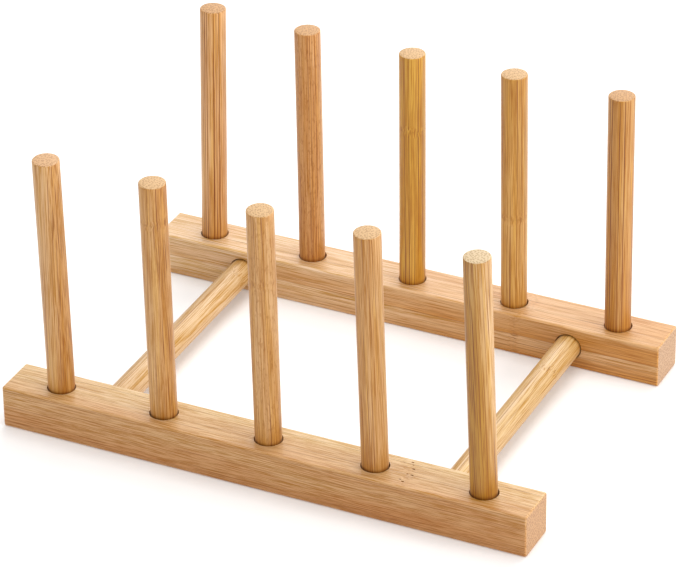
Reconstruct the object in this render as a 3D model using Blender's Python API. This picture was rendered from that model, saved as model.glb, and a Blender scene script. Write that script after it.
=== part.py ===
"""Dish drying rack: two bamboo rails joined by two cross dowels, with a row of dowel posts on each rail.

Frame: metres, +Z up, +X along the rails, +Y from the front rail to the rear rail. The origin is on the
surface that the rack stands on, in the middle of the rack. Every joint is a dowel glued into a blind socket.
"""

from math import copysign, radians

import bmesh
import bpy
from mathutils import Matrix

# Driving dimensions, in metres.
RAIL_LENGTH = 0.250
RAIL_WIDTH = 0.022
RAIL_HEIGHT = 0.020
RAIL_EDGE_RADIUS = 0.0010
RACK_DEPTH = 0.170  # outer face to outer face
DOWEL_DIAMETER = 0.012  # one stock size for the posts and the cross dowels
DOWEL_CHAMFER = 0.0006
POST_PITCH = 0.0505
POST_LENGTH = 0.130
CROSS_DOWEL_OFFSET = 0.0815  # from the middle of the rack to each cross dowel, along the rails
IN_SOCKET = 0.0150  # how much of a dowel's end is inside a rail
SOCKET_CLEARANCE = 0.00035  # on the radius
END_GAP = 0.0003  # between a dowel's end and the bottom of its socket

# The drill leans outwards, so both rows of posts splay. Each post is loose in its socket until the glue sets,
# so it also stands a little off the drill's line: degrees towards +X, then degrees outwards.
SOCKET_SPLAY = 1.3
FRONT_POST_LEANS = [(-0.1, 0.2), (-0.2, -0.3), (0.3, 0.8), (-0.7, 0.1), (-1.4, -0.2)]
REAR_POST_LEANS = [(0.1, 0.9), (-0.9, -0.1), (-0.1, -0.7), (-0.8, -0.5), (-0.8, -0.2)]

FACETS = 36  # sides of each dowel and socket
EDGE_SEGMENTS = 2  # facets across a rail's rounded edge
CUTTER_OVERRUN = 0.004  # how far a socket's cutter stands out of its mouth

RAIL_Y = (RACK_DEPTH - RAIL_WIDTH) / 2
INNER_FACE_Y = RAIL_Y - RAIL_WIDTH / 2
DOWEL_RADIUS = DOWEL_DIAMETER / 2
SOCKET_RADIUS = DOWEL_RADIUS + SOCKET_CLEARANCE
SOCKET_DEPTH = IN_SOCKET + END_GAP
ROWS = {"front": (-1, FRONT_POST_LEANS), "rear": (1, REAR_POST_LEANS)}
CROSS_DOWELS = {"left": -CROSS_DOWEL_OFFSET, "right": CROSS_DOWEL_OFFSET}


def clear_scene():
    for obj in list(bpy.data.objects):
        bpy.data.objects.remove(obj)


def bamboo(name, colour, roughness):
    material = bpy.data.materials.new(name)
    material.use_nodes = True
    shader = material.node_tree.nodes["Principled BSDF"]
    shader.inputs["Base Color"].default_value = (*colour, 1.0)
    shader.inputs["Roughness"].default_value = roughness
    shader.inputs["Metallic"].default_value = 0.0
    return material


def add_object(name, mesh, parent, place, material=None):
    obj = bpy.data.objects.new(name, mesh)
    bpy.context.scene.collection.objects.link(obj)
    obj.parent = parent
    obj.matrix_local = place
    if material:
        mesh.materials.append(material)
    return obj


def finish_mesh(name, shape):
    mesh = bpy.data.meshes.new(name)
    shape.to_mesh(mesh)
    shape.free()
    return mesh


def cylinder_mesh(name, radius, bottom, top, chamfer=0.0):
    """A closed cylinder on local Z from bottom to top. A chamfer, where given, is on both end edges."""
    shape = bmesh.new()
    bmesh.ops.create_cone(
        shape,
        cap_ends=True,
        segments=FACETS,
        radius1=radius,
        radius2=radius,
        depth=top - bottom,
        matrix=Matrix.Translation((0, 0, (bottom + top) / 2)),
    )
    if chamfer:
        rims = [edge for edge in shape.edges if edge.verts[0].co.z == edge.verts[1].co.z]
        bmesh.ops.bevel(
            shape, geom=rims, offset=chamfer, affect="EDGES", segments=1, profile=0.5, material=-1
        )
    mesh = finish_mesh(name, shape)
    mesh.shade_smooth()
    mesh.set_sharp_from_angle(angle=radians(30))
    return mesh


def bar_mesh(name):
    """A rail's bar, centred on its own axis, with its twelve edges rounded."""
    shape = bmesh.new()
    bmesh.ops.create_cube(
        shape, size=1.0, matrix=Matrix.Diagonal((RAIL_LENGTH, RAIL_WIDTH, RAIL_HEIGHT, 1.0))
    )
    bmesh.ops.bevel(
        shape,
        geom=shape.edges[:],
        offset=RAIL_EDGE_RADIUS,
        affect="EDGES",
        segments=EDGE_SEGMENTS,
        profile=0.5,
        material=-1,
    )
    return finish_mesh(name, shape)


def post_mouth(number, side):
    """The mouth of a post's socket, in a rail's top face, with +Z out of it.

    side is -1 for the front rail and 1 for the rear rail.
    """
    x = (number - 3) * POST_PITCH
    splay = Matrix.Rotation(radians(-side * SOCKET_SPLAY), 4, "X")
    return Matrix.Translation((x, side * RAIL_Y, RAIL_HEIGHT)) @ splay


def cross_mouth(x, side):
    """The mouth of a cross dowel's socket, in a rail's inner face, with +Z out of it."""
    turn = Matrix.Rotation(radians(copysign(90, side)), 4, "X")
    return Matrix.Translation((x, side * INNER_FACE_Y, RAIL_HEIGHT / 2)) @ turn


def drill(rail, name, mouth):
    """Cuts a blind socket into the rail."""
    cutter_mesh = cylinder_mesh(name, SOCKET_RADIUS, -SOCKET_DEPTH, CUTTER_OVERRUN)
    cutter = add_object(name, cutter_mesh, rail.parent, mouth)
    cutter.hide_render = True
    cutter.display_type = "WIRE"
    cut = rail.modifiers.new(name, "BOOLEAN")
    cut.operation = "DIFFERENCE"
    cut.object = cutter


def make_rail(row, side, parent, material):
    place = Matrix.Translation((0, side * RAIL_Y, RAIL_HEIGHT / 2))
    rail = add_object(f"{row}_rail", bar_mesh(f"{row}_rail"), parent, place, material)
    for number in range(1, 6):
        drill(rail, f"{row}_post_socket_{number}", post_mouth(number, side))
    for hand, x in CROSS_DOWELS.items():
        drill(rail, f"{row}_{hand}_cross_socket", cross_mouth(x, side))


def make_posts(row, side, leans, parent, material):
    """Each post's origin is halfway down its socket, where it rocks before the glue sets."""
    bottom = -IN_SOCKET / 2
    for number, (along, outwards) in enumerate(leans, start=1):
        name = f"{row}_post_{number}"
        mesh = cylinder_mesh(name, DOWEL_RADIUS, bottom, bottom + POST_LENGTH, DOWEL_CHAMFER)
        seat = post_mouth(number, side) @ Matrix.Translation((0, 0, bottom))
        rock_along = Matrix.Rotation(radians(along), 4, "Y")
        rock_outwards = Matrix.Rotation(radians(-side * outwards), 4, "X")
        add_object(name, mesh, parent, seat @ rock_along @ rock_outwards, material)


def make_cross_dowels(parent, material):
    reach = INNER_FACE_Y + IN_SOCKET
    along_y = Matrix.Rotation(radians(-90), 4, "X")
    for hand, x in CROSS_DOWELS.items():
        name = f"{hand}_cross_dowel"
        mesh = cylinder_mesh(name, DOWEL_RADIUS, -reach, reach, DOWEL_CHAMFER)
        place = Matrix.Translation((x, 0, RAIL_HEIGHT / 2)) @ along_y
        add_object(name, mesh, parent, place, material)


def main():
    clear_scene()
    rail_bamboo = bamboo("rail_bamboo", (0.60, 0.36, 0.17), 0.45)
    dowel_bamboo = bamboo("dowel_bamboo", (0.55, 0.30, 0.11), 0.42)
    rack = add_object("dish_rack", None, None, Matrix.Identity(4))
    for row, (side, leans) in ROWS.items():
        make_rail(row, side, rack, rail_bamboo)
        make_posts(row, side, leans, rack, dowel_bamboo)
    make_cross_dowels(rack, dowel_bamboo)


main()
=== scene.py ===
"""A bamboo dish drying rack: two drilled rails, two cross dowels between them and ten posts."""

import math

import bmesh
import bpy
from mathutils import Matrix, Vector, noise


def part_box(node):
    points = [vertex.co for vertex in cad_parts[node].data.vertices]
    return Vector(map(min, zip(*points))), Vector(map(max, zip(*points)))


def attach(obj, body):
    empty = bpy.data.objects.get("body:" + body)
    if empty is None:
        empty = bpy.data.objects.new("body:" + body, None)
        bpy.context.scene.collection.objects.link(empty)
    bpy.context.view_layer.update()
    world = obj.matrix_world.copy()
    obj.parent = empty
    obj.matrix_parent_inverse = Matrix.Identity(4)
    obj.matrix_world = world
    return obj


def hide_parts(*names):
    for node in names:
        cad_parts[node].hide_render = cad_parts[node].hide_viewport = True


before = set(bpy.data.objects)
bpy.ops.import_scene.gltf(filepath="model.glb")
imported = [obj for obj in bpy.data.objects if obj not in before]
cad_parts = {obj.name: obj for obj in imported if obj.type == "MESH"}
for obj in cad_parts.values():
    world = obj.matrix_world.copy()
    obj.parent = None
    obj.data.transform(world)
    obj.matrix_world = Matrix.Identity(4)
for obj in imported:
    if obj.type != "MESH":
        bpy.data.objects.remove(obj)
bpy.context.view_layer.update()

# ---------------------------------------------------------------------------------------------------------
# Rails. Each is a planed bamboo bar, eased along its edges with sandpaper and wiped with oil. The front one
# is a single thick strip with its skin side forward, and the rear one is two plies glued one on the other.
# The sockets are drilled blind: five from above for the posts and two in the inner face for the dowels.

MM = 0.001
POST_NUMBERS = (1, 2, 3, 4, 5)
EDGE_EASE = 1.0 * MM
EASE_STEPS = 4
SQUARE_CORNER = math.radians(45)  # edges of the bar that turn more than this are eased
REAL_EDGE = math.radians(32)  # edges of a finished piece that turn more than this stay sharp
BAR_STATIONS = 50  # stretches along the bar, so that its sanded edges can wander
EDGE_WANDER = 0.09 * MM
WANDER_LENGTH = 19 * MM
WANDER_START = 3.1  # where in the noise the wander is read
SEAM_WIDTH = 0.16 * MM
SEAM_DEPTH = 0.05 * MM
SOCKET_SIDES = 96
SOCKET_SLACK = 0.27 * MM  # drill over dowel, on the radius, with a skin of glue on the socket's wall
GLUE_GAP = 0.3 * MM  # under a dowel's end
DOWEL_IN_SOCKET = 15.0 * MM
MOUTH_EASE = 0.14 * MM
MOUTH_RAGGEDNESS = 0.10 * MM
CHIP_LENGTH = 1.1 * MM
DRILL_SPLAY = math.radians(1.3)  # the drill leans outwards, away from the other rail
PIT_SIDES = 14
PIT_POINT = 0.08  # a pit's radius at the bottom, in widths
PIT_FLARE = 1.42  # the same, as far above the surface as the pit is deep
PIT_STRETCH = (1.5, 0.7, 1, 1)  # along the fibres, across them and down
PIT_RAGGEDNESS = 0.12
PIT_CHIP = 0.4 * MM
PIT_SEED = 4  # noise_vector starts from a place of its own at every run unless it is given one


def dowel_line(node):
    """The bottom and top centres of a CAD dowel, and its radius."""
    corners = {tuple(round(c, 7) for c in v.co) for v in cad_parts[node].data.vertices}
    points = [Vector(c) for c in corners]
    middle = sum(points, Vector()) / len(points)
    reach = max(points, key=lambda p: (p - middle).length) - middle
    ends = []
    for way in (-1, 1):
        half = [p for p in points if (p - middle).dot(reach) * way > 0]
        ends.append(sum(half, Vector()) / len(half))
    ends.sort(key=lambda end: (round(end.z, 4), end.y))
    along = (ends[1] - ends[0]).normalized()
    heights = [(p - middle).dot(along) for p in points]
    radius = max((p - middle - along * h).length for p, h in zip(points, heights))
    return middle + along * min(heights), middle + along * max(heights), radius


def frame_on(centre, along, aside=Vector((1, 0, 0)), lean=0.0):
    """A matrix at centre whose Z runs along the fibres and whose X is as near aside as it can be.

    lean tilts the fibres towards aside, as in a stick that was sawn a little across the grain.
    """
    z = along.normalized()
    x = (aside - z * aside.dot(z)).normalized()
    y = z.cross(x)
    axes = Matrix((x, y, z)).transposed().to_4x4()
    return Matrix.Translation(centre) @ axes @ Matrix.Rotation(lean, 4, "Y")


def mark(shape, name, value, verts=None):
    """Writes value into an attribute that a material reads, on the given vertices or on all."""
    layer = shape.verts.layers.float.get(name) or shape.verts.layers.float.new(name)
    for v in shape.verts if verts is None else verts:
        v[layer] = value


def finished_piece(name, shape):
    """Makes a bmesh into a smooth object at the origin, with its real edges left sharp."""
    mesh = bpy.data.meshes.new(name)
    shape.to_mesh(mesh)
    shape.free()
    mesh.shade_smooth()
    mesh.set_sharp_from_angle(angle=REAL_EDGE)
    piece = bpy.data.objects.new(name, mesh)
    bpy.context.scene.collection.objects.link(piece)
    return piece


def planed_bar(low, high, seed):
    """A bar about the origin, as large as the box from low to high, with edges eased by hand."""
    size = high - low
    bar = bmesh.new()
    bmesh.ops.create_cube(bar, size=1.0, matrix=Matrix.Diagonal((*size, 1.0)))
    lengthwise = [e for e in bar.edges if abs(e.verts[0].co.x - e.verts[1].co.x) > MM]
    bmesh.ops.subdivide_edges(bar, edges=lengthwise, cuts=BAR_STATIONS - 1)
    corners = [e for e in bar.edges if e.calc_face_angle(0) > SQUARE_CORNER]
    bmesh.ops.bevel(
        bar,
        geom=corners,
        offset=EDGE_EASE,
        affect="EDGES",
        segments=EASE_STEPS,
        profile=0.5,
        material=-1,
    )
    mark(bar, "worn_and_highlit", 0.0)
    rounded = []
    for v in bar.verts:
        faces_met = sum(size[i] / 2 - abs(v.co[i]) < EDGE_EASE * 1.01 for i in range(3))
        outer = max(abs(v.co[i]) * 2 / size[i] for i in range(3)) > 1 - 1e-6
        if faces_met >= 2 and not outer:
            rounded.append(v)
        if faces_met == 2:
            sway = noise.noise(v.co / WANDER_LENGTH + Vector((seed, WANDER_START, 0)))
            inwards = Vector((0, -math.copysign(1, v.co.y), -math.copysign(1, v.co.z)))
            v.co += inwards * EDGE_WANDER * max(sway, 0)
    # The eased edges are marked for pale wear together with a painted highlight.
    mark(bar, "worn_and_highlit", 1.0, rounded)
    return bar


def glue_line(bar):
    """Presses a shallow groove all round the bar at mid height, where its two plies meet."""
    for height in (-SEAM_WIDTH / 2, 0, SEAM_WIDTH / 2):
        bmesh.ops.bisect_plane(
            bar,
            geom=bar.verts[:] + bar.edges[:] + bar.faces[:],
            plane_co=(0, 0, height),
            plane_no=(0, 0, 1),
        )
    bar.normal_update()
    seam = [(v, v.normal.copy()) for v in bar.verts if abs(v.co.z) < SEAM_WIDTH / 4]
    for v, outwards in seam:
        v.co -= outwards * SEAM_DEPTH


def drill_shape(drill, mouth, depth, radius, seed):
    """Adds a drill's solid: a plain bore up to just under the surface, then a ragged flare."""
    lift = MOUTH_EASE * 2
    bore = bmesh.ops.create_cone(
        drill,
        cap_ends=True,
        segments=SOCKET_SIDES,
        radius1=radius,
        radius2=radius + MOUTH_EASE + lift,
        depth=1.0,
    )["verts"]
    for v in bore:
        v.co.z = lift if v.co.z > 0 else -MOUTH_EASE
    floor_rim = [v for v in bore if v.co.z < 0]
    cap = next(f for f in floor_rim[0].link_faces if len(f.verts) == SOCKET_SIDES)
    deeper = bmesh.ops.extrude_face_region(drill, geom=[cap])
    bmesh.ops.delete(drill, geom=[cap], context="FACES_ONLY")
    lowest = [v for v in deeper["geom"] if isinstance(v, bmesh.types.BMVert)]
    bmesh.ops.translate(drill, verts=lowest, vec=(0, 0, MOUTH_EASE - depth))
    for v in floor_rim:
        v.co.z += MOUTH_RAGGEDNESS * noise.noise(Vector((v.co.x, v.co.y, seed * MM)) / CHIP_LENGTH)
    bmesh.ops.transform(drill, matrix=mouth, verts=bore + lowest)


def pit_shape(drill, mouth, width, depth):
    """Adds the solid of a small pit, as a knot leaves: a cone with its point down, long along the rail."""
    cone = bmesh.ops.create_cone(
        drill,
        cap_ends=True,
        segments=PIT_SIDES,
        radius1=PIT_POINT * width,
        radius2=PIT_FLARE * width,
        depth=2 * depth,
        matrix=mouth @ Matrix.Diagonal(PIT_STRETCH),
    )["verts"]
    noise.seed_set(PIT_SEED)
    for v in cone:
        v.co += noise.noise_vector(v.co / PIT_CHIP) * PIT_RAGGEDNESS * width


def cut(piece, drill):
    """Cuts the drill's solids out of the piece. The new walls take the piece's second material."""
    mark(drill, "worn_and_highlit", 0.0)
    for face in drill.faces:
        face.material_index = 1
    bmesh.ops.recalc_face_normals(drill, faces=drill.faces)
    drill_mesh = bpy.data.meshes.new("drill")
    drill.to_mesh(drill_mesh)
    drill.free()
    cutter = bpy.data.objects.new("drill", drill_mesh)
    bpy.context.scene.collection.objects.link(cutter)
    hole = piece.modifiers.new("sockets", "BOOLEAN")
    hole.operation = "DIFFERENCE"
    hole.object = cutter
    hole.material_mode = "INDEX"
    true_faces = piece.modifiers.new("true_faces", "WEIGHTED_NORMAL")
    true_faces.keep_sharp = True
    bpy.context.view_layer.update()
    seen = piece.evaluated_get(bpy.context.evaluated_depsgraph_get())
    mesh = bpy.data.meshes.new_from_object(seen)
    mesh.name = piece.name
    piece.modifiers.clear()
    piece.data = mesh
    bpy.data.objects.remove(cutter)


class Grain:
    """Adds shader nodes one after another to a tree, each fed by sockets or plain numbers."""

    def __init__(self, tree):
        self.tree = tree

    def node(self, kind, **settings):
        made = self.tree.nodes.new(kind)
        for name, value in settings.items():
            setattr(made, name, value)
        return made

    def feed(self, socket, value):
        if isinstance(value, bpy.types.NodeSocket):
            self.tree.links.new(value, socket)
        else:
            socket.default_value = value

    def math(self, operation, *values, clamp=False):
        made = self.node("ShaderNodeMath", operation=operation, use_clamp=clamp)
        for socket, value in zip(made.inputs, values):
            self.feed(socket, value)
        return made.outputs[0]

    def add(self, *values, clamp=False):
        total = values[0]
        for value in values[1:]:
            total = self.math("ADD", total, value, clamp=clamp)
        return total

    def times(self, *values):
        product = values[0]
        for value in values[1:]:
            product = self.math("MULTIPLY", product, value)
        return product

    def swing(self, value, amount):
        """A noise value that goes from 0 to 1, made to go as far as amount either side of 0."""
        return self.times(self.math("SUBTRACT", value, 0.5), amount)

    def rest(self, value):
        return self.math("SUBTRACT", 1.0, value)

    def vector(self, operation, a, b):
        made = self.node("ShaderNodeVectorMath", operation=operation)
        self.feed(made.inputs[0], a)
        self.feed(made.inputs[1], b)
        return made.outputs["Value" if operation == "DOT_PRODUCT" else "Vector"]

    def ramp(self, value, low, high):
        """0 at low to 1 at high, with soft ends."""
        made = self.node("ShaderNodeMapRange", interpolation_type="SMOOTHSTEP")
        for socket, given in zip(made.inputs, (value, low, high, 0.0, 1.0)):
            self.feed(socket, given)
        return made.outputs[0]

    def between(self, share, a, b):
        """A colour that goes from a to b with share."""
        made = self.node("ShaderNodeMix", data_type="RGBA")
        self.feed(made.inputs[0], share)
        self.feed(made.inputs[6], a)
        self.feed(made.inputs[7], b)
        return made.outputs[2]

    def scaled(self, vector, factor):
        """A colour made lighter or darker by factor, or a move made longer or shorter."""
        made = self.node("ShaderNodeVectorMath", operation="SCALE")
        self.feed(made.inputs[0], vector)
        self.feed(made.inputs["Scale"], factor)
        return made.outputs[0]

    def tinted(self, share, colour, tint):
        """The colour, multiplied by tint as far as share says."""
        return self.between(share, colour, self.vector("MULTIPLY", colour, tint))

    def clouds(self, place, stretch, detail=2.0, wild=0.5, output="Fac"):
        """Soft noise whose patches are stretch mm long each way."""
        made = self.node("ShaderNodeTexNoise", noise_dimensions="3D")
        self.feed(made.inputs["Vector"], self.vector("DIVIDE", place, stretch))
        self.feed(made.inputs["Scale"], 1.0)
        self.feed(made.inputs["Detail"], detail)
        self.feed(made.inputs["Roughness"], wild)
        return made.outputs[output]

    def drift(self, place, stretch, across):
        """A sideways move, up to about half of across each way, that changes over stretch mm."""
        cloud = self.clouds(place, stretch, detail=1.0, output="Color")
        either_way = self.vector("SUBTRACT", cloud, (0.5, 0.5, 0.5))
        return self.vector("MULTIPLY", either_way, (across, across, 0.0))

    def strands(self, place, apart, uneven):
        """Strands along Z, apart mm from each other: how far the nearest is, and a number of its own."""
        made = self.node("ShaderNodeTexVoronoi", voronoi_dimensions="2D", feature="F1")
        self.feed(made.inputs["Vector"], self.vector("DIVIDE", place, (apart, apart, apart)))
        self.feed(made.inputs["Scale"], 1.0)
        self.feed(made.inputs["Randomness"], uneven)
        own = self.node("ShaderNodeSeparateColor")
        self.feed(own.inputs[0], made.outputs["Color"])
        return self.times(made.outputs["Distance"], apart), own.outputs[0]


# What each feature multiplies the wood's colour by where it is strongest, in red, green and blue.
WOOD_TINT = (1.13, 1.20, 1.42)
FIBRE_TINT = (0.66, 0.46, 0.06)
GOLD_TINT = (1.02, 0.97, 0.50)
STRAND_TINT = (0.50, 0.31, 0.06)
FLECK_TINT = (0.74, 0.60, 0.35)
GLUE_LINE_TINT = (0.66, 0.52, 0.30)
KNOT_TINT = (0.92, 0.84, 0.66)
PIT_TINT = (0.60, 0.42, 0.25)
DAMP_AND_SHADE_TINT = (0.95, 0.90, 0.70)
RIM_AND_SHADE_TINT = (0.62, 0.45, 0.12)
END_DOT_TINT = (0.45, 0.28, 0.10)
RUBBED_AND_HIGHLIGHT_TINT = (1.15, 1.2, 1.3)


def bamboo_grain():
    """A solid bamboo pattern in millimetres: fibres run along Z, and X goes from pith side to skin side."""
    tree = bpy.data.node_groups.new("bamboo_grain", "ShaderNodeTree")
    inputs = (
        ("Place", "NodeSocketVector", (0, 0, 0)),
        ("Seed", "NodeSocketVector", (0, 0, 0)),
        ("Ply", "NodeSocketFloat", 18.0),  # thickness
        ("Ply Offset", "NodeSocketFloat", 0.5),
        ("Ply Contrast", "NodeSocketFloat", 0.6),
        ("Pale", "NodeSocketColor", (0.55, 0.32, 0.13, 1)),
        ("Deep", "NodeSocketColor", (0.42, 0.20, 0.06, 1)),
        ("Ply Step", "NodeSocketFloat", 0.0),  # how much deeper each ply is than the next towards the skin
        ("Strand Amount", "NodeSocketFloat", 0.6),
        ("Strand Width", "NodeSocketFloat", 1.0),
        ("Wander", "NodeSocketFloat", 0.8),  # how far a strand strays, which sets how long it shows
        ("Hair", "NodeSocketFloat", 5.5),
        ("Hair Length", "NodeSocketFloat", 24.0),
        ("Tone Change", "NodeSocketFloat", 1.3),  # how far the tone drifts along the piece
        ("Tone Slope", "NodeSocketFloat", 0.0),  # how much deeper it gets for each mm along
        ("Gold", "NodeSocketFloat", 0.6),  # yellow streaks
        ("Flecks", "NodeSocketFloat", 0.0),
        ("Knot", "NodeSocketFloat", 500.0),
        ("Knot Line", "NodeSocketFloat", 0.05),
        ("Knot Across", "NodeSocketVector", (0, 1, 0)),  # the way that its slope and bow are measured
        ("Knot Slope", "NodeSocketFloat", 0.0),
        ("Knot Bow", "NodeSocketFloat", 0.0),
        ("Knot Hidden", "NodeSocketFloat", 0.0),  # how far it fades towards the skin
        ("Internode", "NodeSocketFloat", 0.0),  # how much deeper the tone is below the knot than above it
        ("Stain", "NodeSocketFloat", -500.0),  # the socket's mouth, where glue stain and painted shade darken the foot
        ("End Grain", "NodeSocketFloat", 0.0),
        ("End Ground", "NodeSocketColor", (0.60, 0.38, 0.18, 1)),
        # where edges are worn pale and carry a painted highlight
        ("Worn And Highlit", "NodeSocketFloat", 0.0),
    )
    for name, kind, usual in inputs:
        socket = tree.interface.new_socket(name, in_out="INPUT", socket_type=kind)
        socket.default_value = usual
    for name, kind in (
        ("Color", "NodeSocketColor"),
        ("Roughness", "NodeSocketFloat"),
        ("Height", "NodeSocketFloat"),
    ):
        tree.interface.new_socket(name, in_out="OUTPUT", socket_type=kind)
    g = Grain(tree)
    given = g.node("NodeGroupInput").outputs
    result = g.node("NodeGroupOutput").inputs
    place = given["Place"]
    seeded = g.vector("ADD", place, given["Seed"])
    split = g.node("ShaderNodeSeparateXYZ")
    g.feed(split.inputs[0], place)
    x, y, z = split.outputs

    # The plies, each denser and darker from its pith side to its skin side.
    count = g.add(g.math("DIVIDE", x, given["Ply"]), given["Ply Offset"])
    depth = g.math("FRACT", count)
    wave = g.clouds(seeded, (6.0, 6.0, 70.0))
    skin = g.add(depth, g.swing(wave, 0.5), clamp=True)
    own = g.node("ShaderNodeTexWhiteNoise", noise_dimensions="1D")
    g.feed(own.inputs["W"], g.add(g.times(g.math("FLOOR", count), 7.31), 0.37))
    seam = g.math("ABSOLUTE", g.math("SUBTRACT", depth, g.math("ROUND", depth)))
    glue = g.ramp(g.times(seam, given["Ply"]), 0.30, 0.08)

    # A knot: the ring where a leaf sheath grew, which bends the fibres and leaves small pits.
    from_knot = g.math("SUBTRACT", z, given["Knot"])
    across = g.vector("DOT_PRODUCT", place, given["Knot Across"])
    from_knot = g.math("SUBTRACT", from_knot, g.times(across, given["Knot Slope"]))
    from_knot = g.add(from_knot, g.times(across, across, given["Knot Bow"]))
    below_knot = g.ramp(from_knot, 3.0, -3.0)
    from_knot = g.add(from_knot, g.swing(g.clouds(seeded, (3.5, 3.5, 40.0), detail=1.0), 2.0))
    far = g.math("ABSOLUTE", from_knot)
    shown = g.rest(g.times(g.ramp(depth, 0.5, 0.75), given["Knot Hidden"]))
    knot = g.times(g.ramp(far, 3.6, 0.4), shown)
    knot_line = g.times(g.ramp(far, 0.6, 0.1), shown)

    # Fibres wander a little on their way along, and swirl at the knot.
    along = g.vector("ADD", seeded, g.scaled(g.drift(seeded, (14.0, 14.0, 55.0), 1.0), given["Wander"]))
    along = g.vector("ADD", along, g.scaled(g.drift(seeded, (2.2, 2.2, 5.0), 1.6), knot))

    # Vascular strands: sparse and broad towards the pith, fine and crowded towards the skin.
    broad, broad_own = g.strands(along, 1.15, 0.8)
    fine, fine_own = g.strands(g.vector("ADD", along, (7.7, 3.3, 0.0)), 0.70, 0.85)
    broad = g.math("DIVIDE", broad, given["Strand Width"])
    fine = g.math("DIVIDE", fine, given["Strand Width"])
    crowding = g.ramp(skin, 0.2, 0.9)
    sparse = g.times(g.ramp(broad, 0.26, 0.13), g.ramp(broad_own, 0.0, 0.7), g.rest(g.times(crowding, 0.6)))
    crowded = g.times(g.ramp(fine, 0.20, 0.09), g.ramp(fine_own, 0.0, 0.8), crowding)
    strand = g.add(sparse, crowded, clamp=True)
    vessel = g.times(g.ramp(broad, 0.10, 0.05), g.rest(crowding))

    # Hair-fine fibre, mottling, short flecks and the slow change of tone along a stick.
    hair_size = g.node("ShaderNodeCombineXYZ")
    for socket, size in zip(hair_size.inputs, (0.33, 0.33, given["Hair Length"])):
        g.feed(socket, size)
    hair = g.clouds(along, hair_size.outputs[0], detail=3.0, wild=0.65)
    fibre = g.clouds(along, (0.8, 0.8, 70.0), detail=2.0, wild=0.6)
    streak = g.clouds(g.vector("ADD", along, (31.0, 5.0, 9.0)), (1.9, 1.9, 75.0), detail=1.0)
    mottle = g.clouds(along, (2.2, 2.2, 30.0), detail=2.0)
    fleck = g.times(g.ramp(g.clouds(along, (0.8, 0.8, 2.6), detail=2.0), 0.52, 0.68), given["Flecks"])
    tone = g.clouds(seeded, (5.0, 5.0, 60.0), detail=1.0)

    deepness = g.add(g.times(skin, given["Ply Contrast"]), g.swing(tone, given["Tone Change"]))
    deepness = g.math("SUBTRACT", deepness, g.times(g.math("FLOOR", count), given["Ply Step"]))
    deepness = g.add(deepness, g.swing(own.outputs["Value"], 0.35), g.times(z, given["Tone Slope"]))
    deepness = g.add(deepness, g.times(below_knot, given["Internode"]), clamp=True)
    wood = g.between(deepness, given["Pale"], given["Deep"])
    dark = g.add(g.times(g.swing(hair, -1.0), given["Hair"]), g.swing(fibre, -2.0), g.swing(mottle, -0.7))
    wood = g.vector("MULTIPLY", wood, WOOD_TINT)
    wood = g.tinted(g.add(0.4, dark, clamp=True), wood, FIBRE_TINT)
    wood = g.tinted(g.times(g.ramp(streak, 0.48, 0.66), given["Gold"]), wood, GOLD_TINT)
    amount = g.times(strand, given["Strand Amount"], g.add(0.5, mottle))
    wood = g.tinted(g.math("MINIMUM", amount, 1.0), wood, STRAND_TINT)
    wood = g.tinted(fleck, wood, FLECK_TINT)
    wood = g.scaled(wood, g.rest(g.times(vessel, 0.25)))
    wood = g.tinted(g.times(glue, g.add(0.2, mottle)), wood, GLUE_LINE_TINT)

    # The knot's own marks: a warm band, a thin line along its middle and small pits.
    pit_place = g.node("ShaderNodeCombineXYZ")
    g.feed(pit_place.inputs[0], g.add(x, y))
    g.feed(pit_place.inputs[1], g.times(from_knot, 0.5))
    pit_far, pit_own = g.strands(pit_place.outputs[0], 3.4, 0.7)
    pit = g.times(g.ramp(pit_far, 0.34, 0.18), g.ramp(pit_own, 0.3, 0.6), g.ramp(far, 1.1, 0.5))
    wood = g.tinted(g.times(knot, 0.35), wood, KNOT_TINT)
    wood = g.scaled(wood, g.rest(g.times(knot_line, given["Knot Line"])))
    wood = g.tinted(g.times(pit, 0.6), wood, PIT_TINT)

    # Glue soaks a little way up a dowel from its socket. The foot also carries painted shade and a painted
    # golden reflection of the rail, darkest right at the mouth.
    damp_and_shade = g.ramp(g.add(z, g.swing(mottle, 16.0)), g.add(given["Stain"], 16.0), given["Stain"])
    wood = g.tinted(damp_and_shade, wood, DAMP_AND_SHADE_TINT)
    # The narrow band just above the mouth is darkest: a glue line with painted shade where the dowel meets
    # the rail.
    rim_and_shade = g.ramp(z, g.add(given["Stain"], 1.8), g.add(given["Stain"], 0.1))
    wood = g.tinted(g.times(rim_and_shade, 0.8), wood, RIM_AND_SHADE_TINT)

    # Cut ends: the strands show as dots on a cream ground, under the marks of the saw.
    dots = g.times(g.ramp(broad, 0.46, 0.26), g.ramp(broad_own, -0.6, 0.4))
    end = g.scaled(given["End Ground"], g.add(1.0, g.swing(hair, 0.5)))
    end = g.tinted(g.times(dots, 0.55), end, END_DOT_TINT)
    saw = g.math("SINE", g.times(g.add(x, g.times(y, 0.6), g.swing(tone, 2.0)), 7.5))
    end = g.scaled(end, g.add(1.0, g.times(saw, 0.035)))
    wood = g.between(given["End Grain"], wood, end)

    # Handling polishes the eased edges pale, and the same mark paints a highlight along them.
    rubbed_and_highlight = g.ramp(g.add(given["Worn And Highlit"], g.swing(hair, 0.9)), 0.35, 1.0)
    wood = g.tinted(rubbed_and_highlight, wood, RUBBED_AND_HIGHLIGHT_TINT)
    g.feed(result["Color"], wood)

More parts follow.
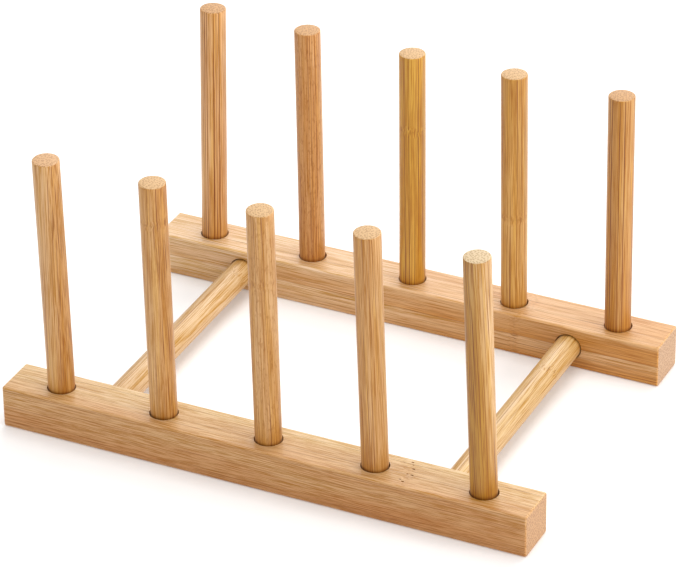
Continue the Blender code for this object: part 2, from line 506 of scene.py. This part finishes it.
    rough = g.add(0.36, g.times(hair, 0.16), g.times(vessel, 0.2), g.times(given["End Grain"], 0.2))
    rough = g.add(rough, g.times(strand, -0.06))
    g.feed(result["Roughness"], rough)
    high = g.add(g.times(hair, 0.030), g.times(strand, 0.018), g.times(vessel, -0.05), g.times(glue, -0.03))
    high = g.add(high, g.times(pit, -0.25), g.times(fleck, -0.01), g.times(saw, given["End Grain"], 0.02))
    g.feed(result["Height"], high)


SEED_STEP = (17.3, 29.9, 211.0)  # mm from one seed's place in the grain to the next one's
END_GRAIN_FACING = (0.55, 0.9)  # how squarely a surface cuts the fibres before it shows them end on


def bamboo(name, fibres, seed, **looks):
    """Oiled bamboo for one piece. fibres is a frame_on matrix, and looks are the grain's inputs."""
    material = bpy.data.materials.new(name)
    material.use_nodes = True
    g = Grain(material.node_tree)
    shader = material.node_tree.nodes["Principled BSDF"]
    coordinates = g.node("ShaderNodeTexCoord")
    centred = g.node("ShaderNodeMapping", vector_type="TEXTURE")
    g.feed(centred.inputs["Vector"], coordinates.outputs["Object"])
    centred.inputs["Location"].default_value = fibres.to_translation()
    centred.inputs["Rotation"].default_value = fibres.to_euler()
    centred.inputs["Scale"].default_value = (MM, MM, MM)
    facing = g.vector("DOT_PRODUCT", coordinates.outputs["Normal"], fibres.col[2].to_3d())
    grain = g.node("ShaderNodeGroup")
    grain.node_tree = bpy.data.node_groups["bamboo_grain"]
    g.feed(grain.inputs["Place"], centred.outputs[0])
    g.feed(grain.inputs["Seed"], tuple(seed * step for step in SEED_STEP))
    g.feed(grain.inputs["End Grain"], g.ramp(g.math("ABSOLUTE", facing), *END_GRAIN_FACING))
    g.feed(grain.inputs["Worn And Highlit"], g.node("ShaderNodeAttribute", attribute_name="worn_and_highlit").outputs["Fac"])
    for word, value in looks.items():
        g.feed(grain.inputs[word.replace("_", " ").title()], value)
    bump = g.node("ShaderNodeBump")
    bump.inputs["Strength"].default_value = 0.7
    bump.inputs["Distance"].default_value = MM
    g.feed(bump.inputs["Height"], grain.outputs["Height"])
    g.feed(shader.inputs["Base Color"], grain.outputs["Color"])
    g.feed(shader.inputs["Roughness"], grain.outputs["Roughness"])
    g.feed(shader.inputs["Normal"], bump.outputs["Normal"])
    shader.inputs["IOR"].default_value = 1.5
    shader.inputs["Specular IOR Level"].default_value = 0.5
    shader.inputs["Sheen Weight"].default_value = 0.12
    shader.inputs["Sheen Roughness"].default_value = 0.4
    return material


# Both browns are darker than the drilled wood's own colour: they also hold painted shade.
GLUED_BROWN_AND_SHADE = (0.29, 0.10, 0.008, 1)
BURNT_BROWN_AND_SHADE = (0.15, 0.048, 0.003, 1)


def drilled_bamboo():
    """The dull walls of a drilled hole or a pit, browned by the drill, with the glue soaked in, and darkened
    further by painted shade for the narrow gap round a dowel and the inside of a pit.
    """
    material = bpy.data.materials.new("drilled_bamboo")
    material.use_nodes = True
    g = Grain(material.node_tree)
    shader = material.node_tree.nodes["Principled BSDF"]
    place = g.vector("DIVIDE", g.node("ShaderNodeTexCoord").outputs["Object"], (MM, MM, MM))
    burnt = g.clouds(place, (0.9, 0.9, 0.9), detail=3.0)
    chips = g.clouds(place, (0.25, 0.25, 0.25), detail=2.0)
    brown_and_shade = g.between(g.ramp(burnt, 0.35, 0.65), GLUED_BROWN_AND_SHADE, BURNT_BROWN_AND_SHADE)
    bump = g.node("ShaderNodeBump")
    bump.inputs["Strength"].default_value = 0.6
    bump.inputs["Distance"].default_value = MM
    g.feed(bump.inputs["Height"], g.times(chips, 0.12))
    g.feed(shader.inputs["Base Color"], brown_and_shade)
    g.feed(shader.inputs["Roughness"], g.add(0.8, g.times(chips, 0.2)))
    g.feed(shader.inputs["Normal"], bump.outputs["Normal"])
    shader.inputs["Specular IOR Level"].default_value = 0.0
    return material


bamboo_grain()
socket_wall = drilled_bamboo()

ALONG_RAIL = Vector((1, 0, 0))
RAIL_SKIN_AND_SHADE_SIDE = {"front": Vector((0, -1, -0.6)), "rear": Vector((0, 0, -1))}  # where the darker skin side faces; on the front rail this also paints shade, a darker front face under a paler top
RAIL_LOOKS = {
    "front": {
        "ply": 32.0,
        "ply_contrast": 0.8,
        "tone_change": 0.3,
        "tone_slope": 0.0004,
        "pale": (0.67, 0.490, 0.240, 1),
        "deep": (0.49, 0.21, 0.053, 1),
        "strand_amount": 0.5,
        "hair": 6.0,
        "hair_length": 12.0,
        "gold": 0.0,
        "knot": 67.3,
        "knot_line": 0.03,
        "knot_hidden": 0.9,
        "knot_across": (-1, 0, 0),
        "knot_bow": 0.053,
        "end_ground": (0.50, 0.275, 0.125, 1),
    },
    "rear": {
        "ply": 10.4,
        "ply_offset": 0.0,
        "ply_contrast": 0.6,
        "ply_step": 0.35,
        "tone_change": 0.8,
        "pale": (0.68, 0.455, 0.245, 1),
        "deep": (0.54, 0.235, 0.036, 1),
        "strand_amount": 0.6,
        "hair": 4.5,
        "hair_length": 18.0,
        "gold": 0.0,
        "tone_slope": 0.003,
        "knot": 60.0,
        "knot_bow": 0.04,
        "end_ground": (0.50, 0.30, 0.165, 1),
    },
}
# Pits of the front rail's knot, in its top: along the rail and across it, from its middle, and their widths.
KNOT_PITS = {
    "front": (
        (64.2 * MM, 8.2 * MM, 0.62 * MM),
        (65.3 * MM, 6.3 * MM, 0.42 * MM),
        (66.7 * MM, 3.6 * MM, 0.70 * MM),
        (65.8 * MM, -0.8 * MM, 0.50 * MM),
        (68.0 * MM, -1.0 * MM, 0.70 * MM),
        (64.6 * MM, -5.8 * MM, 0.55 * MM),
        (66.3 * MM, -6.9 * MM, 0.70 * MM),
    ),
    "rear": (),
}

for row, side in (("front", -1), ("rear", 1)):
    low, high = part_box(f"{row}_rail")
    middle = (low + high) / 2
    shape = planed_bar(low, high, seed=side * 4.7)
    if row == "rear":
        glue_line(shape)
    bmesh.ops.translate(shape, verts=shape.verts, vec=middle)
    bar = finished_piece(f"{row}_bar", shape)
    drill = bmesh.new()
    for number in POST_NUMBERS:
        foot, head, radius = dowel_line(f"{row}_post_{number}")
        pivot = foot + (head - foot).normalized() * DOWEL_IN_SOCKET / 2
        outwards = Vector((0, side * math.sin(DRILL_SPLAY), math.cos(DRILL_SPLAY)))
        mouth = pivot + outwards * (high.z - pivot.z) / outwards.z
        drill_shape(
            drill,
            frame_on(mouth, outwards),
            DOWEL_IN_SOCKET + GLUE_GAP,
            radius + SOCKET_SLACK,
            seed=side * number,
        )
    for hand in ("left", "right"):
        near, far, radius = dowel_line(f"{hand}_cross_dowel")
        inner = high.y if side < 0 else low.y
        drill_shape(
            drill,
            frame_on(Vector((near.x, inner, near.z)), Vector((0, -side, 0))),
            DOWEL_IN_SOCKET + GLUE_GAP,
            radius + SOCKET_SLACK,
            seed=side * 7.3,
        )
    for along, across, width in KNOT_PITS[row]:
        pit_place = Vector((middle.x + along, middle.y + across, high.z))
        pit_shape(drill, Matrix.Translation(pit_place), width, depth=width)
    cut(bar, drill)
    fibres = frame_on(middle, ALONG_RAIL, aside=RAIL_SKIN_AND_SHADE_SIDE[row])
    bar.data.materials.append(bamboo(f"{row}_rail_bamboo", fibres, seed=5 + side, **RAIL_LOOKS[row]))
    # The socket and pit walls take the dark brown material, which is partly painted shade.
    bar.data.materials.append(socket_wall)
    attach(bar, "root")
    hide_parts(f"{row}_rail")

# ---------------------------------------------------------------------------------------------------------
# Cross dowels. Two lengths of 12 mm bamboo dowel hold the rails apart, glued into their inner faces. The
# stock is milled from split strips, so it is not quite round or straight, and its cut ends are sanded.

DOWEL_SIDES = 128
DOWEL_STATIONS = 64
END_CHAMFER = 0.6 * MM
CHAMFER_STEPS = 3
FURROW_DEPTH = 0.05 * MM
FURROW_WIDTH = 0.9 * MM
FURROW_LENGTH = 35 * MM
OUT_OF_ROUND = 0.05 * MM
BOW = 0.10 * MM
SANDED_AND_HIGHLIT = 0.5  # how strongly the chamfers carry pale wear and a painted highlight, where a rail's eased edges are 1


def milled_dowel(foot, head, radius, seed):
    """A dowel about the origin, a little furrowed, oval and bowed, and nowhere thicker than radius."""
    length = (head - foot).length
    stick = bmesh.new()
    bmesh.ops.create_cone(
        stick, cap_ends=True, segments=DOWEL_SIDES, radius1=radius, radius2=radius, depth=length
    )
    rims = [e for e in stick.edges if e.verts[0].co.z * e.verts[1].co.z > 0]
    bmesh.ops.bevel(
        stick,
        geom=rims,
        offset=END_CHAMFER,
        affect="EDGES",
        segments=CHAMFER_STEPS,
        profile=0.5,
        material=-1,
    )
    lengthwise = [e for e in stick.edges if e.verts[0].co.z * e.verts[1].co.z < 0]
    bmesh.ops.subdivide_edges(stick, edges=lengthwise, cuts=DOWEL_STATIONS - 1)
    for v in stick.verts:
        across = Vector((v.co.x, v.co.y, 0))
        angle = math.atan2(across.y, across.x)
        milled = Vector((v.co.x / FURROW_WIDTH, v.co.y / FURROW_WIDTH, v.co.z / FURROW_LENGTH + seed))
        furrow = noise.noise(milled)
        oval = 0.5 + 0.5 * math.cos(2 * angle + seed)
        shrink = FURROW_DEPTH * (0.5 + 0.5 * furrow) + OUT_OF_ROUND * oval
        v.co -= across * shrink / radius
        v.co.x += BOW * math.sin(seed) * (1 - (2 * v.co.z / length) ** 2)
    mark(stick, "worn_and_highlit", 0.0)
    # The sanded chamfers are marked for pale wear together with a painted highlight.
    sanded_and_highlit = [v for v in stick.verts if 0.1 < (length / 2 - abs(v.co.z)) / END_CHAMFER < 0.9]
    mark(stick, "worn_and_highlit", SANDED_AND_HIGHLIT, sanded_and_highlit)
    return stick


def skin_towards(bearing):
    """A level direction: 0 degrees is towards +X and 90 is towards the rear."""
    return Vector((math.cos(math.radians(bearing)), math.sin(math.radians(bearing)), 0))


CROSS_SKIN = {"left": Vector((-0.6, 0, -1)), "right": Vector((0.3, 0, -1))}
CROSS_LOOKS = {
    "left": {
        "tone_change": 0.3,
        "pale": (0.61, 0.42, 0.215, 1),
        "deep": (0.44, 0.22, 0.06, 1),
        "strand_amount": 1.7,
        "strand_width": 0.65,
        "wander": 0.4,
        "hair": 7.0,
        "hair_length": 22.0,
        "gold": 0.0,
        "knot": -52.0,
        "knot_slope": 0.15,
    },
    "right": {
        "tone_change": 0.5,
        "pale": (0.62, 0.43, 0.215, 1),
        "deep": (0.46, 0.235, 0.06, 1),
        "strand_amount": 1.0,
        "strand_width": 0.7,
        "wander": 0.4,
        "hair": 6.5,
        "hair_length": 24.0,
        "gold": 0.3,
        "knot": -34.0,
        "knot_slope": -0.2,
    },
}

for hand, seed in (("left", 3), ("right", 8)):
    near, far, radius = dowel_line(f"{hand}_cross_dowel")
    shape = milled_dowel(far, near, radius, seed)
    place = frame_on((near + far) / 2, near - far)
    bmesh.ops.transform(shape, matrix=place, verts=shape.verts)
    dowel = finished_piece(f"{hand}_cross_bar", shape)
    fibres = frame_on((near + far) / 2, near - far, aside=CROSS_SKIN[hand])
    mouth = DOWEL_IN_SOCKET / MM - (near - far).length / (2 * MM)
    dowel.data.materials.append(
        bamboo(f"{hand}_cross_bamboo", fibres, seed, stain=mouth, **CROSS_LOOKS[hand])
    )
    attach(dowel, "root")
    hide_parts(f"{hand}_cross_dowel")

# ---------------------------------------------------------------------------------------------------------
# Posts. Ten lengths of the same dowel stand in the rails, glued in and leaning a little each its own way.
# Each was milled from another strip, so tone, strands and knots differ, and its skin side faces anywhere.

BUFF_END = (0.59, 0.35, 0.17, 1)
ASH_END = (0.61, 0.46, 0.27, 1)
RED_END = (0.54, 0.30, 0.125, 1)
TAN = {"pale": (0.63, 0.37, 0.155, 1), "deep": (0.49, 0.22, 0.042, 1)}
OLIVE = {"pale": (0.64, 0.40, 0.19, 1), "deep": (0.42, 0.195, 0.018, 1), "end_ground": ASH_END}
GOLDEN = {"pale": (0.60, 0.315, 0.035, 1), "deep": (0.48, 0.22, 0.010, 1)}
HONEY = {"pale": (0.65, 0.365, 0.105, 1), "deep": (0.48, 0.22, 0.022, 1)}
REDDISH = {"pale": (0.67, 0.375, 0.150, 1), "deep": (0.50, 0.21, 0.040, 1), "end_ground": RED_END}
RUSSET = {"pale": (0.54, 0.275, 0.072, 1), "deep": (0.42, 0.165, 0.020, 1), "end_ground": RED_END}

# For each post from left to right: which way its skin side faces and how far its grain leans that way, both
# in degrees, its seed, and its grain. A knot's height is in millimetres from the post's middle.
POST_LOOKS = {
    "front": (
        (0, 1.5, 21, {**TAN, "end_ground": BUFF_END, "strand_amount": 1.4, "tone_slope": -0.003}),
        (-20, 1.0, 22, {**TAN, "strand_amount": 1.2, "tone_slope": 0.002, "knot": 47.0, "flecks": 0.2}),
        (
            -150,
            0.3,
            23,
            {**TAN, "strand_amount": 0.9, "hair": 4.0, "flecks": 0.6, "knot": 31.0, "knot_line": 0.0},
        ),
        (-100, 0.5, 24, {**TAN, "strand_amount": 1.0, "hair": 6.5}),
        (-150, 1.0, 25, {**OLIVE, "strand_amount": 1.3, "ply_contrast": 1.6, "tone_slope": -0.005}),
    ),
    "rear": (
        (100, 0.0, 31, {**REDDISH, "strand_amount": 2.0, "strand_width": 1.2, "wander": 0.2}),
        (-60, 0.0, 32, {**REDDISH, "strand_amount": 1.5, "flecks": 0.7, "wander": 0.5}),
        (120, 0.2, 33, {**GOLDEN, "strand_amount": 1.0, "wander": 0.5, "knot": 28.0, "internode": 0.2}),
        (-100, 0.3, 34, {**HONEY, "strand_amount": 1.3, "wander": 0.6, "knot": -5.0, "internode": -0.3}),
        (110, 0.0, 35, {**RUSSET, "strand_amount": 2.2, "wander": 0.5, "gold": 1.2}),
    ),
}

for row in ("front", "rear"):
    for number, (bearing, lean, seed, grain) in zip(POST_NUMBERS, POST_LOOKS[row]):
        foot, head, radius = dowel_line(f"{row}_post_{number}")
        shape = milled_dowel(foot, head, radius, seed)
        place = frame_on((foot + head) / 2, head - foot)
        bmesh.ops.transform(shape, matrix=place, verts=shape.verts)
        post = finished_piece(f"{row}_peg_{number}", shape)
        fibres = frame_on(
            (foot + head) / 2, head - foot, aside=skin_towards(bearing), lean=math.radians(lean)
        )
        mouth = DOWEL_IN_SOCKET / MM - (head - foot).length / (2 * MM)
        post.data.materials.append(
            bamboo(f"{row}_peg_{number}_bamboo", fibres, seed, stain=mouth, **grain)
        )
        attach(post, "root")
        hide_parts(f"{row}_post_{number}")

# ---------------------------------------------------------------------------------------------------------
# The floor is a plain white sheet, lit by a white room, a soft lamp above, one on the right and a bright
# wall behind. The camera looks down on the rack from the front right.

FLOOR_HALF_WIDTH = 4.0
FLOOR_GLOW = 0.065  # lifts the sheet to white without washing out the soft shadow
ROOM_LIGHT = 0.6
floor_mesh = bpy.data.meshes.new("floor")
sheet = bmesh.new()
bmesh.ops.create_grid(sheet, x_segments=1, y_segments=1, size=FLOOR_HALF_WIDTH)
sheet.to_mesh(floor_mesh)
sheet.free()
floor = bpy.data.objects.new("floor", floor_mesh)
bpy.context.scene.collection.objects.link(floor)
white = bpy.data.materials.new("white_floor")
white.use_nodes = True
paper = white.node_tree.nodes["Principled BSDF"]
paper.inputs["Base Color"].default_value = (0.92, 0.92, 0.92, 1)
paper.inputs["Roughness"].default_value = 0.9
paper.inputs["Specular IOR Level"].default_value = 0.0
paper.inputs["Emission Color"].default_value = (1, 1, 1, 1)
paper.inputs["Emission Strength"].default_value = FLOOR_GLOW
floor_mesh.materials.append(white)

room = bpy.data.worlds.new("room")
bpy.context.scene.world = room
room.use_nodes = True
walls = room.node_tree.nodes["Background"]
walls.inputs["Color"].default_value = (1, 1, 1, 1)
walls.inputs["Strength"].default_value = ROOM_LIGHT


def soft_lamp(name, place, width, height, radiance):
    """A flat lamp that faces the rack. radiance is in the units of the room's own strength."""
    lamp = bpy.data.lights.new(name, "AREA")
    lamp.shape = "RECTANGLE"
    lamp.size = width
    lamp.size_y = height
    lamp.energy = radiance * math.pi * width * height
    hung = bpy.data.objects.new(name, lamp)
    hung.location = place
    hung.rotation_euler = (-Vector(place)).to_track_quat("-Z", "Y").to_euler()
    bpy.context.scene.collection.objects.link(hung)


soft_lamp("top_lamp", (0.0, 0.2, 1.6), 1.2, 1.2, 2.9)
soft_lamp("back_wall", (-0.3, 2.5, 1.5), 2.6, 1.9, 2.9)
soft_lamp("right_lamp", (4.4, -0.2, 1.6), 2.8, 2.8, 5.5)

AZIMUTH = math.radians(25.85)
ELEVATION = math.radians(30.6)
ROLL = math.radians(-0.79)
CAMERA_PLACE = (0.6950, -1.4368, 1.0008)
camera = bpy.data.cameras.new("camera")
camera.sensor_width = 36.0
camera.lens = 224.6
stand = bpy.data.objects.new("camera", camera)
bpy.context.scene.collection.objects.link(stand)
level = Vector((math.cos(AZIMUTH), math.sin(AZIMUTH), 0))
ahead = Vector((-math.sin(AZIMUTH), math.cos(AZIMUTH), 0))
aim = ahead * math.cos(ELEVATION) - Vector((0, 0, math.sin(ELEVATION)))
above = level.cross(aim)
right = level * math.cos(ROLL) + above * math.sin(ROLL)
up = above * math.cos(ROLL) - level * math.sin(ROLL)
turned = Matrix((right, up, -aim)).transposed().to_4x4()
stand.matrix_world = Matrix.Translation(CAMERA_PLACE) @ turned
bpy.context.scene.camera = stand
bpy.context.scene.view_settings.view_transform = "Standard"
